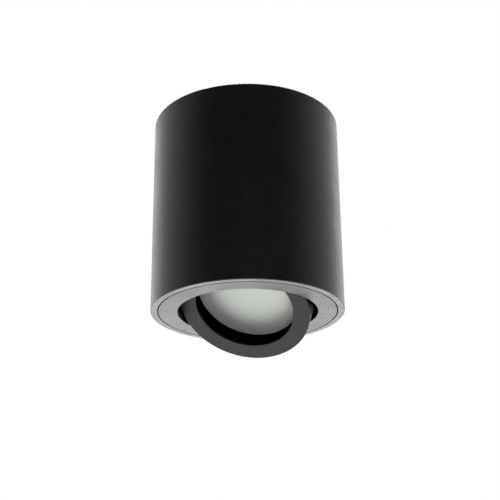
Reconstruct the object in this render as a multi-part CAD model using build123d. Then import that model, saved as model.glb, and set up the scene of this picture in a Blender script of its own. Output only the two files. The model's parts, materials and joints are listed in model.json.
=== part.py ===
from build123d import *
import math
import os

# Surface mounted ceiling spotlight: a can, a turning trim insert and a tilting lamp head.
# Millimetres. The origin is the centre of the face that meets the ceiling, and the can hangs
# below it. The tilt axis runs along X, and the lamp is stored tilted over to its stop.

# Lamp: a reflector lamp with a rim, a frosted lens and a twist-lock base with two pins
LAMP_DIAMETER = 50.0
LAMP_RIM_HEIGHT = 3.8
LENS_FLANGE = 1.2  # thickness of the lens where the rim clamps it
LENS_RISE = 3.4  # how far the domed middle stands in front of the flange
LENS_DOME_RADIUS = 21.0
LAMP_BODY_LENGTH = 28.0
LAMP_NECK_DIAMETER = 27.0
LAMP_FINS = 18
LAMP_FIN_THICKNESS = 1.2
LAMP_FIN_DEPTH = 4.2
LAMP_CHAMBER_DEPTH = 7.0
LAMP_BASE_LENGTH = 8.0
LAMP_BASE_DIAMETER = 23.6
LAMP_BASE_FLATS = 18.4  # across the two flats
LED_BOARD_DIAMETER = 27.0
LED_BOARD_THICKNESS = 1.6
LED_COUNT = 6
PIN_SPACING = 10.0
PIN_LENGTH = 7.3
PIN_NECK_DIAMETER = 3.0
PIN_HEAD_DIAMETER = 5.0
PIN_HEAD_LENGTH = 3.0
PIN_ROOT = 4.0  # length of each pin inside the base
CHIP_SIZE = 2.8
CHIP_HEIGHT = 0.8

# Tilting ring, a ribbed casting that carries the lamp
RING_FACE_WIDTH = 7.7  # flat front face, from the lip to the outer edge
RING_LIP_INSET = 1.7  # lip radius inside the lamp's own radius
RING_DEPTH = 16.4  # outer skirt, from the front face back
RING_FRONT_WALL = 1.8
RING_SKIRT_WALL = 1.6
RING_BARREL_WALL = 1.9
RING_BARREL_DEPTH = 18.6
RING_RIB_THICKNESS = 1.2
RING_RIBS = 12
LAMP_SETBACK = 9.8  # front face of the ring to the seat of the lamp
LAMP_SEAT_WIDTH = 0.4
LAMP_PLAY = 0.2
CLIP_WIRE = 1.4  # wire of the open ring that holds the lamp from behind
CLIP_OPENING = 28.0  # degrees
CLIP_BEND = 1.0  # radius of the wire's turned-in ends
RING_BOSS_WIDTH = 8.4
RING_BOSS_BACK = 4.8  # tilt axis to the back of the bosses that take the pivots

# Tilt pivots
PIVOT_HEIGHT = 7.4  # front face of the level ring to the tilt axis
TILT = 33.0  # degrees each way from straight down
STOP_CLEARANCE = 0.287  # ring to opening at the stop
SHOULDER_DIAMETER = 4.0
PIVOT_THREAD_DIAMETER = 3.0
PIVOT_THREAD_LENGTH = 4.0
PIVOT_HEAD_DIAMETER = 6.4
PIVOT_HEAD_HEIGHT = 1.7
PIVOT_SLOT = 0.8  # width and depth of the screwdriver slot
WASHER_DIAMETER = 7.2
SPOT_FACE_DEPTH = 0.4
EAR_THICKNESS = 2.0
EAR_RADIUS = 4.6
EAR_GAP = 0.3  # opening edge to the ear
EAR_WEB = 1.0  # gussets that tie each ear to the spigot
CONE_WASHER_RISE = 0.75
CONE_WASHER_SHEET = 0.35

# Trim insert
TRIM_WIDTH = 9.0  # opening edge to the seam
TRIM_THICKNESS = 2.5
SEAM = 0.3
SPIGOT_WALL = 1.5
SPIGOT_HEIGHT = 3.2
SPIGOT_GAP = 0.5  # spigot to the ledge of the can
SPRINGS = 3
SPRING_WIDTH = 8.0
SPRING_SHEET = 0.5
SPRING_RISE = 14.0  # top of the trim plate to the spring's free end
TAB_HEIGHT = 9.5
TAB_THICKNESS = 1.6
TAB_MARGIN = 0.6  # tab beyond the spring, each side
RIVET_DROP = 3.2  # top of the tab to the rivet
RIVET_DIAMETER = 2.0

# Can
CAN_HEIGHT = 96.0
CAN_RIM_WIDTH = 3.2  # the end face that shows outside the seam
CAN_WALL = 2.4
CAN_TOP = 3.0
CAN_CORNER = 3.0  # inside radius between wall and top
CAN_SHOULDER = 0.6  # outside radius between wall and top
CAN_LEDGE_WIDTH = 1.8
CAN_LEDGE_HEIGHT = 1.6
CAN_RIBS = 4
CAN_RIB_DEPTH = 6.0
CAN_RIB_HEIGHT = 11.0
CAN_RIB_THICKNESS = 2.0
CEILING_SLOT_SPACING = 58.0
CEILING_SLOT_LENGTH = 9.0
CEILING_SLOT_WIDTH = 4.5
SLOT_PAD_HEIGHT = 1.0
SLOT_PAD_MARGIN = 3.0
CABLE_HOLE_INSET = 17.1  # can's bore to the middle of the hole, on the +Y side
CABLE_HOLE_DIAMETER = 11.0
GROMMET_BORE = 7.5
GROMMET_FLANGE = 16.0
GROMMET_FLANGE_THICKNESS = 1.4
GROMMET_NOSE = 2.2
GROMMET_SINK = 0.1  # grommet below the ceiling face

# Terminal block and earth point on the inside of the can's top
POLE_PITCH = 9.0
POLES = 3
BLOCK_DEPTH = 16.0
BLOCK_HEIGHT = 9.0
BLOCK_OFFSET = 3.0  # towards +Y
TOWER_DIAMETER = 6.0
TOWER_HEIGHT = 4.0
TOWER_SPACING = 8.4
SLEEVE_DIAMETER = 4.4
SLEEVE_BORE = 2.7
TERMINAL_SCREW_DIAMETER = 2.5
TERMINAL_SCREW_LENGTH = 5.2
TERMINAL_SCREW_SLOT = 0.5
BLOCK_SCREW_DIAMETER = 2.9
BLOCK_SCREW_BITE = 3.5  # thread inside its boss
BLOCK_SCREW_HEAD = 1.4
BLOCK_BOSS_DIAMETER = 6.9
BLOCK_SEAT_HEIGHT = 2.0
EARTH_DISTANCE = 24.0  # block to the earth screw, which stands in line with the earth pole
EARTH_SCREW_DIAMETER = 4.0
EARTH_SCREW_BITE = 4.2  # thread inside its boss
EARTH_HEAD_DIAMETER = 7.2
EARTH_HEAD_HEIGHT = 2.4
EARTH_RECESS = 1.0  # width of the cross recess
EARTH_BOSS_DIAMETER = 9.0
EARTH_BOSS_HEIGHT = 2.5
LUG_SHEET = 0.8
LUG_TONGUE = 3.2
LUG_REACH = 8.4  # earth screw to the lug's barrel
LUG_BARREL_LENGTH = 5.6
LUG_BARREL_WALL = 0.6
LUG_BARREL_DROP = 0.4  # axis of the barrel below the lug's lower face

# Lampholder, pushed onto the lamp's pins
HOLDER_LENGTH = 26.4
HOLDER_WIDTH = 16.4
HOLDER_BODY_HEIGHT = 10.2
HOLDER_COVER_HEIGHT = 3.6
HOLDER_FLOOR = 3.6  # wall that the pins' heads catch behind
HOLDER_TWIST = 35.0  # degrees
HOLDER_SCREW_SPACING = 21.2
HOLDER_SCREW_DIAMETER = 1.8
HOLDER_SCREW_BITE = 4.6  # thread inside the body
HOLDER_SCREW_HEAD = 1.1
HOLDER_POCKET = 5.8  # square pocket over each pin, for its contact
HOLDER_COLLAR = 1.2  # wall of the collar round each lead, and its height
CONTACT_SHEET = 0.6
CONTACT_WIDTH = 4.4
CONTACT_REACH = 2.4  # pin's axis to the contact's fold

# Leads: each leaves the lampholder, climbs to the can's wall and follows it round to the block
LEAD_DIAMETER = 2.2
LEAD_IN_SLEEVE = 0.9  # end of a lead inside the block
LEAD_EXIT = 4.0  # straight run behind the lampholder
LEAD_STRAIGHT = 4.8  # straight run at the block
LEAD_RUN = 9.5
LEAD_CLIMB = 5.4
LEAD_SWING = 5.0
LOOP_GAP = 6.2  # can's bore to a lead's axis
LOOP_INWARD = 5.0  # further from the wall at the end of the loop
LOOP_DEPTH = 24.0  # ceiling face to the loop
LOOP_CLIMB = 7.5
LOOP_START = 53.0  # degrees

# Clearances
FIT = 0.05  # radial, where a pin, screw or sleeve sits in its hole
TOUCH = 0.05  # between faces of one assembly that seat on each other
RUNNING = 0.15  # between faces that slide past each other
EDGE = 0.3  # broken edge on the coated castings
ROOT = 0.5  # depth to which a rib, boss or tab runs into the wall that it grows from
BEYOND = 1.0  # run of a cutting shape past the face that it opens
HOLE_END = 0.3  # blind hole past the end of its screw

# Radii that follow, from the lamp outwards
LAMP_RADIUS = LAMP_DIAMETER / 2
LIP_RADIUS = LAMP_RADIUS - RING_LIP_INSET
SEAT_RADIUS = LAMP_RADIUS - LAMP_SEAT_WIDTH
POCKET_RADIUS = LAMP_RADIUS + LAMP_PLAY
BARREL_RADIUS = POCKET_RADIUS + RING_BARREL_WALL
RING_RADIUS = LIP_RADIUS + RING_FACE_WIDTH
SKIRT_TOP = RING_DEPTH - PIVOT_HEIGHT
STOP_ANGLE = math.radians(TILT)
STOP_RADIUS = (RING_RADIUS + STOP_CLEARANCE - PIVOT_HEIGHT * math.sin(STOP_ANGLE)) / math.cos(STOP_ANGLE)
SWEEP_RADIUS = math.hypot(RING_RADIUS, max(SKIRT_TOP, PIVOT_HEIGHT)) + RUNNING
OPENING_RADIUS = max(STOP_RADIUS, SWEEP_RADIUS)
TRIM_RADIUS = OPENING_RADIUS + TRIM_WIDTH
MOUTH_RADIUS = TRIM_RADIUS + SEAM
CAN_RADIUS = MOUTH_RADIUS + CAN_RIM_WIDTH
BORE_RADIUS = CAN_RADIUS - CAN_WALL
LEDGE_RADIUS = MOUTH_RADIUS - CAN_LEDGE_WIDTH
SPIGOT_RADIUS = LEDGE_RADIUS - SPIGOT_GAP
SPIGOT_INNER = SPIGOT_RADIUS - SPIGOT_WALL
CABLE_HOLE_Y = BORE_RADIUS - CABLE_HOLE_INSET

# Heights that follow. Those of the head are measured from the tilt axis, back being up
PIVOT_Z = PIVOT_HEIGHT - CAN_HEIGHT
TRIM_TOP_Z = TRIM_THICKNESS - CAN_HEIGHT
LEDGE_Z = TRIM_TOP_Z + RUNNING
FACE = -PIVOT_HEIGHT
SEAT = FACE + LAMP_SETBACK
LENS_FRONT = SEAT + TOUCH
RIM_FRONT = LENS_FRONT + LENS_FLANGE
RIM_BACK = RIM_FRONT + LAMP_RIM_HEIGHT - LENS_FLANGE
WIRE_HEIGHT = RIM_BACK + TOUCH + CLIP_WIRE / 2
WIRE_RADIUS = LAMP_RADIUS + LAMP_PLAY
BARREL_TOP = FACE + RING_BARREL_DEPTH
NECK = RIM_BACK + LAMP_BODY_LENGTH
BASE_END = NECK + LAMP_BASE_LENGTH
PIN_TIP = BASE_END + PIN_LENGTH
HOLDER_FRONT = BASE_END + TOUCH
HOLDER_SPLIT = HOLDER_FRONT + HOLDER_BODY_HEIGHT
HOLDER_BACK = HOLDER_SPLIT + HOLDER_COVER_HEIGHT
PIN_CAVITY = PIN_HEAD_DIAMETER + 0.6
PIN_ROOM = PIN_TIP + 0.5
BOARD_SEAT = RIM_FRONT + LAMP_CHAMBER_DEPTH
BLOCK_SEAT_Z = -CAN_TOP - BLOCK_SEAT_HEIGHT
BLOCK_LENGTH = POLES * POLE_PITCH
BLOCK_LOW_Z = BLOCK_SEAT_Z - BLOCK_HEIGHT
BLOCK_FRONT_Y = BLOCK_OFFSET - BLOCK_DEPTH / 2
SLEEVE_Z = BLOCK_SEAT_Z - BLOCK_HEIGHT / 2
POLE_X = [(i - (POLES - 1) / 2) * POLE_PITCH for i in range(POLES)]  # earth, neutral, live
EARTH_X = POLE_X[0]
EARTH_Y = BLOCK_FRONT_Y - EARTH_DISTANCE
EARTH_SEAT_Z = -CAN_TOP - EARTH_BOSS_HEIGHT
LUG_Z = EARTH_SEAT_Z - TOUCH - LUG_SHEET
LUG_AXIS_Z = LUG_Z - LUG_BARREL_DROP
EAR_INNER = OPENING_RADIUS + EAR_GAP
EAR_OUTER = EAR_INNER + EAR_THICKNESS
SPOT_FACE = RING_RADIUS - SPOT_FACE_DEPTH
HEAD_SEAT = EAR_OUTER + CONE_WASHER_RISE + 2 * FIT
HEAD_END = HEAD_SEAT + PIVOT_HEAD_HEIGHT
TAB_RADIUS = SPIGOT_RADIUS - SPRING_SHEET - TOUCH - 0.5
RIVET_Z = TRIM_TOP_Z + TAB_HEIGHT - RIVET_DROP
BULGE_Z = LEDGE_Z + CAN_LEDGE_HEIGHT + BORE_RADIUS - LEDGE_RADIUS  # where the can's bore begins


def turned(*corners):
    """Solid of revolution about Z from (radius, height, corner rounding) points."""
    points = [(r, z) for r, z, _ in corners]
    rounds = [rounding for _, _, rounding in corners]
    outline = make_face(FilletPolyline(*points, radius=rounds, close=True))
    return revolve(Plane.XZ * outline, Axis.Z)


def rod(diameter, low, high, x=0, y=0):
    """Upright cylinder between two heights."""
    return Pos(x, y, low) * extrude(Circle(diameter / 2), high - low)


def slab(x0, x1, y0, y1, z0, z1):
    """Block between two corners."""
    middle = Pos((x0 + x1) / 2, (y0 + y1) / 2, (z0 + z1) / 2)
    return middle * Box(x1 - x0, y1 - y0, z1 - z0)


def along_x(part):
    """A part modelled along +Z, laid along +X."""
    return Rot(0, 90, 0) * part


def upright(*points):
    """Face in the XZ plane from its corners."""
    return Plane.XZ * make_face(Polyline(*points, close=True))


def tilted(part):
    """From the head's own frame, with the tilt axis at its origin, to its stop in the can."""
    return Pos(0, 0, PIVOT_Z) * Rot(-TILT, 0, 0) * part


def at_pivot(part):
    """From the head's own frame to the level ring's place, for what stays on the trim."""
    return Pos(0, 0, PIVOT_Z) * part


def around(part, count, start=0):
    """Copies of a part spaced evenly about Z."""
    return [Rot(0, 0, start + i * 360 / count) * part for i in range(count)]


def both_sides(part):
    """A part on the +X side and its twin on the -X side."""
    return [part, Rot(0, 0, 180) * part]


def apart(spacing):
    """X of two like features, spaced evenly about the middle."""
    return (-spacing / 2, spacing / 2)


def save(name, *parts):
    """Write one sub-part, a single solid or a group of separate ones."""
    solids = [Solid(s.wrapped) for part in parts for s in part.solids()]
    export_step(Compound(children=solids), f"parts/{name}.step")


# ---------------------------------------------------------------- can

def can_shell():
    """Closed top, plain wall, and a ledge above the mouth that seats the trim."""
    return turned(
        (0, 0, 0), (CAN_RADIUS, 0, CAN_SHOULDER), (CAN_RADIUS, -CAN_HEIGHT, EDGE),
        (MOUTH_RADIUS, -CAN_HEIGHT, EDGE / 2), (MOUTH_RADIUS, LEDGE_Z, 0), (LEDGE_RADIUS, LEDGE_Z, 0.2),
        (LEDGE_RADIUS, LEDGE_Z + CAN_LEDGE_HEIGHT, 0.2), (BORE_RADIUS, BULGE_Z, 0),
        (BORE_RADIUS, -CAN_TOP, CAN_CORNER), (0, -CAN_TOP, 0),
    )


def can_gusset():
    """Tapered rib between the top and the wall, on the +X side."""
    inner = BORE_RADIUS - CAN_RIB_DEPTH
    outer = BORE_RADIUS + ROOT
    face = upright(
        (outer, -CAN_TOP + ROOT), (inner, -CAN_TOP + ROOT), (inner, -CAN_TOP - CAN_RIB_THICKNESS / 2),
        (outer, -CAN_TOP - CAN_RIB_HEIGHT),
    )
    return extrude(face, CAN_RIB_THICKNESS / 2, both=True)


def can_openings():
    """Slots for the ceiling screws, the cable hole with its recess, and the blind screw holes."""
    slot = extrude(SlotOverall(CEILING_SLOT_LENGTH, CEILING_SLOT_WIDTH), 3 * CAN_TOP)
    cuts = [Pos(x, 0, -2 * CAN_TOP) * slot for x in apart(CEILING_SLOT_SPACING)]
    cuts.append(rod(CABLE_HOLE_DIAMETER, -2 * CAN_TOP, BEYOND, 0, CABLE_HOLE_Y))
    cuts.append(rod(GROMMET_FLANGE + 1.0, -GROMMET_FLANGE_THICKNESS - GROMMET_SINK, BEYOND, 0, CABLE_HOLE_Y))
    end = BLOCK_SEAT_Z + BLOCK_SCREW_BITE + HOLE_END
    for x in apart(POLE_PITCH):
        cuts.append(rod(BLOCK_SCREW_DIAMETER + 2 * FIT, BLOCK_SEAT_Z - BEYOND, end, x, BLOCK_OFFSET))
    end = EARTH_SEAT_Z + EARTH_SCREW_BITE + HOLE_END
    cuts.append(rod(EARTH_SCREW_DIAMETER + 2 * FIT, EARTH_SEAT_Z - BEYOND, end, EARTH_X, EARTH_Y))
    return cuts


def can():
    """Cast can with gussets, bosses for the terminals and pads round its ceiling slots."""
    shell = can_shell()
    for rib in around(can_gusset(), CAN_RIBS, start=45):
        shell += rib
    shell += rod(EARTH_BOSS_DIAMETER, EARTH_SEAT_Z, -CAN_TOP + ROOT, EARTH_X, EARTH_Y)
    for x in apart(POLE_PITCH):
        shell += rod(BLOCK_BOSS_DIAMETER, BLOCK_SEAT_Z, -CAN_TOP + ROOT, x, BLOCK_OFFSET)
    margin = 2 * SLOT_PAD_MARGIN
    outline = SlotOverall(CEILING_SLOT_LENGTH + margin, CEILING_SLOT_WIDTH + margin)
    pad = extrude(outline, SLOT_PAD_HEIGHT + ROOT)
    for x in apart(CEILING_SLOT_SPACING):
        shell += Pos(x, 0, -CAN_TOP - SLOT_PAD_HEIGHT) * pad
    for cut in can_openings():
        shell -= cut
    return shell


def cable_grommet():
    """Rubber grommet, gripping the web round the cable hole between two flanges."""
    bore, neck, flange = GROMMET_BORE / 2, CABLE_HOLE_DIAMETER / 2 - FIT, GROMMET_FLANGE / 2
    web_top = TOUCH - GROMMET_FLANGE_THICKNESS - GROMMET_SINK
    web_low = -CAN_TOP - TOUCH
    lower = web_low - GROMMET_FLANGE_THICKNESS
    nose = lower - GROMMET_NOSE
    ring = turned(
        (bore, -GROMMET_SINK, 0.4), (flange, -GROMMET_SINK, 0.4), (flange, web_top, 0), (neck, web_top, 0),
        (neck, web_low, 0), (flange - 1.2, web_low, 0.3), (flange - 1.6, lower, 0.4),
        (bore + 1.3, nose, 0.4), (bore, nose, 0),
    )
    return Pos(0, CABLE_HOLE_Y, 0) * ring


# ---------------------------------------------------------------- terminals, in the can's top

def tower_places():
    """Middle of each clamping screw."""
    return [(x, BLOCK_OFFSET + y) for x in POLE_X for y in apart(TOWER_SPACING)]


def terminal_block():
    """Moulded block, with a screw tower each side of every pole and two fixing holes."""
    outline = RectangleRounded(BLOCK_LENGTH, BLOCK_DEPTH, 1.0)
    block = Pos(0, BLOCK_OFFSET, BLOCK_LOW_Z) * extrude(outline, BLOCK_HEIGHT - TOUCH)
    tower_low = BLOCK_LOW_Z - TOWER_HEIGHT
    for x, y in tower_places():
        block += rod(TOWER_DIAMETER, tower_low, BLOCK_LOW_Z + ROOT, x, y)
    for x, y in tower_places():
        block -= rod(TERMINAL_SCREW_DIAMETER + 1.0, tower_low - BEYOND, SLEEVE_Z, x, y)
    channel = Rot(90, 0, 0) * Cylinder(SLEEVE_DIAMETER / 2 + FIT, BLOCK_DEPTH + 2 * BEYOND)
    for x in POLE_X:
        block -= Pos(x, BLOCK_OFFSET, SLEEVE_Z) * channel
    for x in apart(POLE_PITCH):
        block -= rod(BLOCK_SCREW_DIAMETER + 0.5, BLOCK_LOW_Z - BEYOND, 0, x, BLOCK_OFFSET)
    return block


def terminal_sleeves():
    """Brass sleeves, one a pole, threaded across for the clamping screws."""
    tube = Cylinder(SLEEVE_DIAMETER / 2, BLOCK_DEPTH - 2.0) - Cylinder(SLEEVE_BORE / 2, BLOCK_DEPTH)
    thread = rod(TERMINAL_SCREW_DIAMETER + 2 * FIT, -SLEEVE_DIAMETER, 0)
    sleeve = Rot(90, 0, 0) * tube
    for y in apart(TOWER_SPACING):
        sleeve -= Pos(0, y, 0) * thread
    return [Pos(x, BLOCK_OFFSET, SLEEVE_Z) * sleeve for x in POLE_X]


def terminal_screws():
    """Slotted grub screws that clamp the conductors in the sleeves."""
    top = SLEEVE_Z - SLEEVE_BORE / 2 + 0.6
    foot = top - TERMINAL_SCREW_LENGTH
    half = TERMINAL_SCREW_SLOT / 2
    screw = rod(TERMINAL_SCREW_DIAMETER, foot, top) - slab(-2, 2, -half, half, foot - BEYOND, foot + 0.8)
    return [Pos(x, y, 0) * screw for x, y in tower_places()]


def block_screws():
    """Cheese-head screws that hold the block to its two bosses."""
    seat = BLOCK_LOW_Z - TOUCH
    low = seat - BLOCK_SCREW_HEAD
    screw = rod(BLOCK_SCREW_DIAMETER, seat, BLOCK_SEAT_Z + BLOCK_SCREW_BITE)
    screw += rod(TOWER_SPACING - TOWER_DIAMETER + 2.0, low, seat)
    screw -= slab(-3, 3, -0.3, 0.3, low - BEYOND, low + BLOCK_SCREW_HEAD / 2)
    return [Pos(x, BLOCK_OFFSET, 0) * screw for x in apart(POLE_PITCH)]


def earth_screw():
    """Cross-recessed screw through the lug into the boss, with a chamfered tip."""
    shank, head, seat = EARTH_SCREW_DIAMETER / 2, EARTH_HEAD_DIAMETER / 2, LUG_Z - TOUCH
    low, tip = seat - EARTH_HEAD_HEIGHT, EARTH_SEAT_Z + EARTH_SCREW_BITE
    screw = turned(
        (0, tip, 0), (shank - 0.5, tip, 0), (shank, tip - 0.5, 0), (shank, seat, 0),
        (head, seat, 0.3), (head, low, 0.8), (0, low, 0),
    )
    bar = slab(-2, 2, -EARTH_RECESS / 2, EARTH_RECESS / 2, low - BEYOND, seat - 1.1)
    return Pos(EARTH_X, EARTH_Y, 0) * (screw - bar - Rot(0, 0, 90) * bar)


def earth_lug():
    """Ring terminal with a crimped barrel, pointing to the block."""
    bore = LEAD_DIAMETER / 2 + FIT
    lug = extrude(Circle(EARTH_HEAD_DIAMETER / 2 + 0.3), LUG_SHEET)
    lug += slab(0, LUG_REACH + BEYOND, -LUG_TONGUE / 2, LUG_TONGUE / 2, 0, LUG_SHEET)
    lug -= rod(EARTH_SCREW_DIAMETER + 0.3, -BEYOND, LUG_SHEET + BEYOND)
    barrel = along_x(extrude(Circle(LEAD_DIAMETER / 2 + LUG_BARREL_WALL), LUG_BARREL_LENGTH))
    hole = along_x(extrude(Circle(bore), LUG_BARREL_LENGTH + BEYOND))
    lug += Pos(LUG_REACH, 0, -LUG_BARREL_DROP) * barrel
    lug -= Pos(LUG_REACH, 0, -LUG_BARREL_DROP) * hole
    return Pos(EARTH_X, EARTH_Y, LUG_Z) * Rot(0, 0, 90) * lug


# ---------------------------------------------------------------- trim insert

def trim_plate():
    """Flush ring with a spigot that centres it in the can's ledge."""
    low = -CAN_HEIGHT
    spigot_top = TRIM_TOP_Z + SPIGOT_HEIGHT
    return turned(
        (OPENING_RADIUS, low, EDGE), (TRIM_RADIUS, low, EDGE / 2), (TRIM_RADIUS, TRIM_TOP_Z, 0.2),
        (SPIGOT_RADIUS, TRIM_TOP_Z, 0), (SPIGOT_RADIUS, spigot_top, 0.3), (SPIGOT_INNER, spigot_top, 0.3),
        (SPIGOT_INNER, TRIM_TOP_Z, 0.5), (OPENING_RADIUS, TRIM_TOP_Z, EDGE),
    )


def pivot_ear():
    """Round-topped ear on the +X side with a web from each flank to the spigot, still undrilled."""
    ear = along_x(extrude(Circle(EAR_RADIUS), EAR_THICKNESS))
    ear += slab(0, EAR_THICKNESS, -EAR_RADIUS, EAR_RADIUS, FACE + BEYOND, 0)
    back = EAR_THICKNESS - 0.2
    end = SPIGOT_INNER + ROOT - EAR_INNER
    low, toe = FACE + BEYOND, TRIM_TOP_Z - PIVOT_Z + 2.0
    rise = upright((back, low), (back, 1.2), (end, toe), (end, low))
    web = extrude(rise, EAR_WEB / 2, both=True)
    for y in apart(2 * EAR_RADIUS - EAR_WEB):
        ear += Pos(0, y, 0) * web
    return at_pivot(Pos(EAR_INNER, 0, 0) * ear)


def at_rivet(part):
    """From the rivet's own frame, along X, to its place on the first tab."""
    return Pos(TAB_RADIUS, 0, RIVET_Z) * part


def rivet_hole():
    """Cutter through tab and spring."""
    return at_rivet(along_x(Cylinder(RIVET_DIAMETER / 2 + FIT, 8)))


def trim_ring():
    """Trim plate with two pivot ears and a tab for each spring."""
    ring = trim_plate()
    for ear in both_sides(pivot_ear()):
        ring += ear
    bore = along_x(extrude(Circle(SHOULDER_DIAMETER / 2 + FIT), EAR_OUTER + BEYOND))
    for hole in both_sides(at_pivot(bore)):
        ring -= hole
    half = SPRING_WIDTH / 2 + TAB_MARGIN
    inner, top = TAB_RADIUS - TAB_THICKNESS, TRIM_TOP_Z + TAB_HEIGHT
    tab = slab(inner, TAB_RADIUS, -half, half, TRIM_TOP_Z - ROOT, top)
    tab = fillet(tab.edges().filter_by(Axis.X).group_by(Axis.Z)[-1], 1.5)
    window = slab(TAB_RADIUS, SPIGOT_RADIUS + BEYOND, -half, half, TRIM_TOP_Z, top)
    for place in around(Pos(0, 0, 0), SPRINGS, start=90):
        ring -= place * window
        ring += place * tab
        ring -= place * rivet_hole()
    return ring


def spring_reach():
    """Distance out to the spring's crest, whose corners run just inside the can's wall."""
    return math.sqrt((BORE_RADIUS - RUNNING) ** 2 - (SPRING_WIDTH / 2) ** 2)


def clip_springs():
    """Leaf springs that snap over the can's ledge and rub on its wall as the trim turns."""
    start = TAB_RADIUS + TOUCH + SPRING_SHEET / 2
    crest = spring_reach() - SPRING_SHEET / 2
    shoulder = BULGE_Z + 4.6
    end = TRIM_TOP_Z + SPRING_RISE
    knee = (shoulder + end) / 2 + 0.8
    path = FilletPolyline(
        (start, 0, TRIM_TOP_Z + 0.4), (start, 0, shoulder), (crest, 0, knee), (start + 0.8, 0, end + 1.2),
        radius=[1.2, 0.9],
    )
    section = Plane(path @ 0, x_dir=(0, 1, 0), z_dir=path % 0) * Rectangle(SPRING_WIDTH, SPRING_SHEET)
    return around(sweep(section, path) - rivet_hole(), SPRINGS, start=90)


def clip_rivets():
    """Round-head rivets through spring and tab, upset on the inside."""
    shank, head, tail = RIVET_DIAMETER / 2, RIVET_DIAMETER * 0.8, RIVET_DIAMETER * 0.75
    outside = SPRING_SHEET + 2 * TOUCH
    inside = -TAB_THICKNESS - TOUCH
    rivet = turned(
        (0, outside + 0.8, 0), (head, outside + 0.5, 0.3), (head, outside, 0), (shank, outside, 0),
        (shank, inside, 0), (tail, inside, 0), (tail, inside - 0.5, 0.2), (0, inside - 0.5, 0),
    )
    return around(at_rivet(along_x(rivet)), SPRINGS, start=90)


# ---------------------------------------------------------------- tilting head

def ring_casting():
    """Turned body of the tilting ring: flat face, conical mouth, seat, pocket and skirt."""
    floor = FACE + RING_FRONT_WALL
    skirt = RING_RADIUS - RING_SKIRT_WALL
    return turned(
        (LIP_RADIUS, FACE, EDGE), (RING_RADIUS, FACE, EDGE), (RING_RADIUS, SKIRT_TOP, 0.2),
        (skirt, SKIRT_TOP, 0.2), (skirt - 0.2, floor, 0.8), (BARREL_RADIUS - 0.4, floor, 0.8),
        (BARREL_RADIUS, BARREL_TOP, 0.3), (POCKET_RADIUS, BARREL_TOP, 0.3), (POCKET_RADIUS, SEAT, 0),
        (SEAT_RADIUS, SEAT, 0), (LIP_RADIUS, FACE + 1.4, 0),
    )


def pivot_boss():
    """Boss on the +X side, between the barrel and the skirt, for the pivot screw's thread."""
    half, low = RING_BOSS_WIDTH / 2, FACE + RING_FRONT_WALL - HOLE_END
    boss = slab(BARREL_RADIUS - 0.8, RING_RADIUS - 0.6, -half, half, low, RING_BOSS_BACK)
    return fillet(boss.edges().filter_by(Axis.X).group_by(Axis.Z)[-1], 2.0)


def gimbal_ring():
    """Ribbed ring that carries the lamp, with a spot face and a threaded hole at each pivot."""
    ring = ring_casting()
    half, low = RING_RIB_THICKNESS / 2, FACE + RING_FRONT_WALL - HOLE_END
    rib = slab(BARREL_RADIUS - 0.6, RING_RADIUS - RING_SKIRT_WALL + 0.2, -half, half, low, SKIRT_TOP - 2.0)
    for web in around(rib, RING_RIBS, start=180 / RING_RIBS) + both_sides(pivot_boss()):
        ring += web
    seat = extrude(Circle(WASHER_DIAMETER / 2 + RUNNING), 2 * BEYOND)
    hole = extrude(Circle((PIVOT_THREAD_DIAMETER + FIT) / 2), PIVOT_THREAD_LENGTH + BEYOND)
    seat = Pos(SPOT_FACE, 0, 0) * along_x(seat)
    hole = Pos(SPOT_FACE - PIVOT_THREAD_LENGTH - HOLE_END, 0, 0) * along_x(hole)
    for cut in both_sides(seat) + both_sides(hole):
        ring -= cut
    return ring - Pos(0, 0, WIRE_HEIGHT) * Torus(WIRE_RADIUS, CLIP_WIRE / 2 + TOUCH)


def lamp_clip():
    """Open wire ring, sprung into the groove behind the lamp's rim, with turned-in ends."""
    ring = CenterArc((0, 0, 0), WIRE_RADIUS, 90 + CLIP_OPENING / 2, 360 - CLIP_OPENING)
    elbow = JernArc(ring @ 1, ring % 1, CLIP_BEND, 90)
    tip = Line(elbow @ 1, elbow @ 1 + (elbow % 1) * CLIP_BEND / 2)
    twins = [mirror(piece, Plane.YZ) for piece in (elbow, tip)]
    path = Wire([piece.edge() for piece in (tip, elbow, ring, *twins)])
    wire = sweep(Plane(path @ 0, z_dir=path % 0) * Circle(CLIP_WIRE / 2), path)
    return Pos(0, 0, WIRE_HEIGHT) * wire


def lens_dome(low, high):
    """Half section of one side of the dome, level at its middle and at the flange."""
    return Spline((0, low), (LENS_DOME_RADIUS, high), tangents=[(1, 0), (1, 0)])


def lamp_lens():
    """Frosted lens: a soft dome that rolls off into a flat flange with a rounded edge."""
    apex, back_z, corner = LENS_FRONT - LENS_RISE, RIM_FRONT - TOUCH, 0.5
    front = lens_dome(apex, LENS_FRONT)
    back = lens_dome(apex + LENS_FLANGE, back_z)
    edge = CenterArc((LAMP_RADIUS - corner, LENS_FRONT + corner), corner, 270, 90)
    lines = Curve() + [
        front, Line(front @ 1, edge @ 0), edge, Line(edge @ 1, (LAMP_RADIUS, back_z)),
        Line((LAMP_RADIUS, back_z), back @ 1), back, Line(back @ 0, front @ 0),
    ]
    return revolve(Plane.XZ * make_face(lines), Axis.Z)


def chamber_section():
    """Cone of the reflector chamber, as the (radius, height) of its floor and its mouth."""
    return (LED_BOARD_DIAMETER / 2 + 0.3, BOARD_SEAT), (LENS_DOME_RADIUS, RIM_FRONT)


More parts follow.
